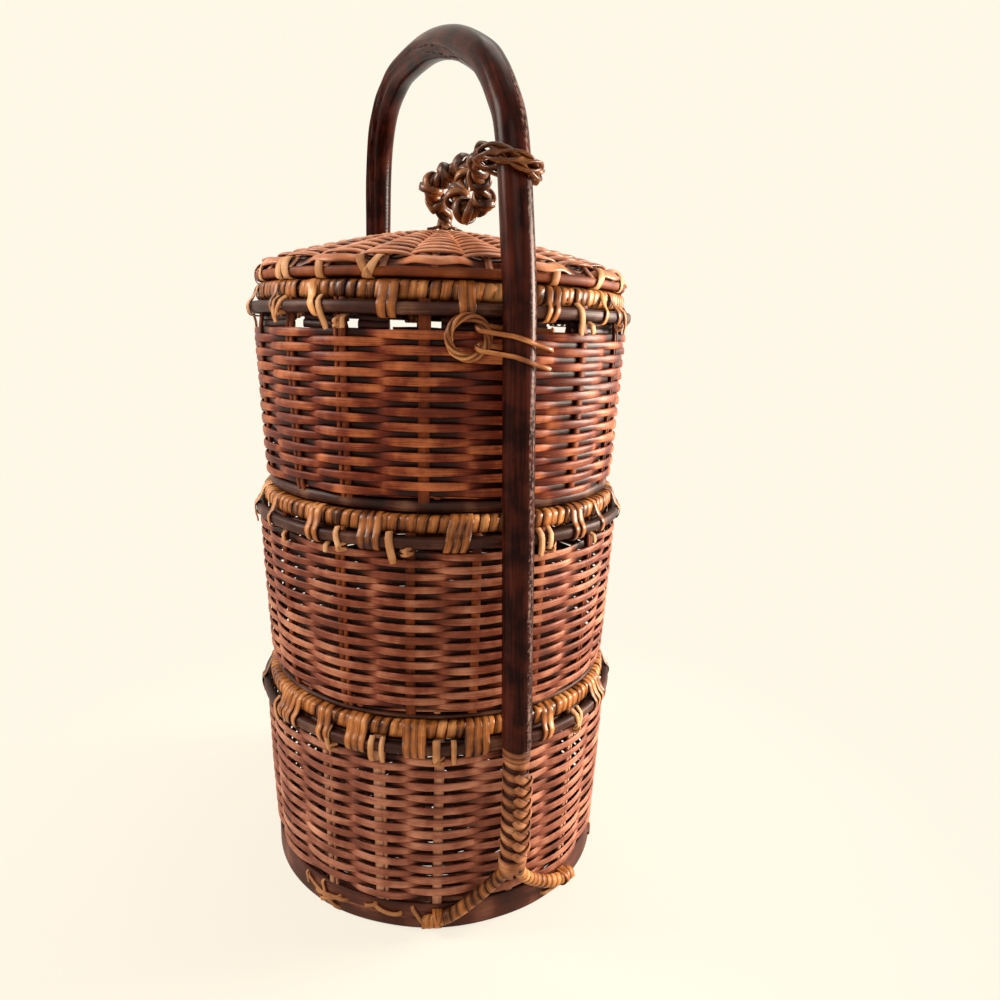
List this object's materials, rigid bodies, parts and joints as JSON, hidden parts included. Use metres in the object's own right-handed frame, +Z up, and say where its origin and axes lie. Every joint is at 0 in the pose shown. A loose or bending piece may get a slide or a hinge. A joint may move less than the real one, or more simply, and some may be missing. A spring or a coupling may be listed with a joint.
{
  "type": "tiered food basket",
  "caption": "Tall round carrier of nesting woven tiers under a shallow lid, held in a lashed bent-cane handle.",
  "frame": {"origin": "centre of the circle that the foot band stands on", "axes": "+Z up along the tiers' common axis, +X towards the front leg of the handle, which carries the latch ring"},
  "size_m": [0.294, 0.2537, 0.5527],
  "materials": {
    "weave": "varnished woven rattan, satin",
    "golden_cane": "split cane skin, semi-gloss",
    "dark_hoop": "dark stained hoop, satin",
    "foot_bamboo": "dark bamboo strip, matt",
    "lacquered_cane": "dark lacquer, glossy",
    "lid_weave": "varnished woven rattan, satin",
    "plaited_cane": "bare plaited cane, matt",
    "knotted_rattan": "aged rattan, satin"
  },
  "bodies": {
    "base": {"bottom_wall": "weave", "bottom_lower_hoop": "dark_hoop", "bottom_rim_hoop": "golden_cane", "bottom_inner_hoop": "dark_hoop", "bottom_rim_lacing": "golden_cane", "bottom_floor": "weave", "bottom_foot_band": "foot_bamboo", "bottom_floor_hoop": "dark_hoop", "handle": "lacquered_cane", "front_leg_lashing": "plaited_cane", "front_plait": "plaited_cane", "front_wide_wrap": "golden_cane", "front_left_arm": "golden_cane", "front_right_arm": "golden_cane", "front_left_arm_tie": "golden_cane", "front_right_arm_tie": "golden_cane", "back_leg_lashing": "plaited_cane", "back_plait": "plaited_cane", "back_wide_wrap": "golden_cane", "back_left_arm": "golden_cane", "back_right_arm": "golden_cane", "back_left_arm_tie": "golden_cane", "back_right_arm_tie": "golden_cane", "latch_tie": "golden_cane"},
    "middle_tier": {"middle_wall": "weave", "middle_lower_hoop": "dark_hoop", "middle_rim_hoop": "golden_cane", "middle_inner_hoop": "dark_hoop", "middle_rim_lacing": "golden_cane", "middle_floor": "weave", "middle_foot_hoop": "dark_hoop", "middle_nest_collar": "foot_bamboo"},
    "top_tier": {"top_wall": "weave", "top_lower_hoop": "dark_hoop", "top_rim_hoop": "golden_cane", "top_inner_hoop": "dark_hoop", "top_rim_lacing": "golden_cane", "top_floor": "weave", "top_foot_hoop": "dark_hoop", "top_nest_collar": "foot_bamboo"},
    "lid": {"lid_shell": "lid_weave", "lid_hoop": "dark_hoop", "lid_foot_hoop": "dark_hoop", "lid_collar": "golden_cane", "lid_tether": "knotted_rattan", "leg_ring": "knotted_rattan"},
    "latch": {"latch_ring": "knotted_rattan"}
  },
  "joints": [
    {"name": "middle_lift", "type": "slide", "parent": "base", "child": "middle_tier", "axis": [0, 0, 1], "range_m": [0, 0.0065]},
    {"name": "top_lift", "type": "slide", "parent": "middle_tier", "child": "top_tier", "axis": [0, 0, 1], "range_m": [0, 0.0065]},
    {"name": "lid_lift", "type": "slide", "parent": "top_tier", "child": "lid", "axis": [0, 0, 1], "range_m": [0, 0.0065]},
    {"name": "latch_swing", "type": "hinge", "parent": "base", "child": "latch", "pos_m": [0.1259, -0.02063, 0.36577], "axis": [0, 0, 1], "range_deg": [0, 40]}
  ]
}
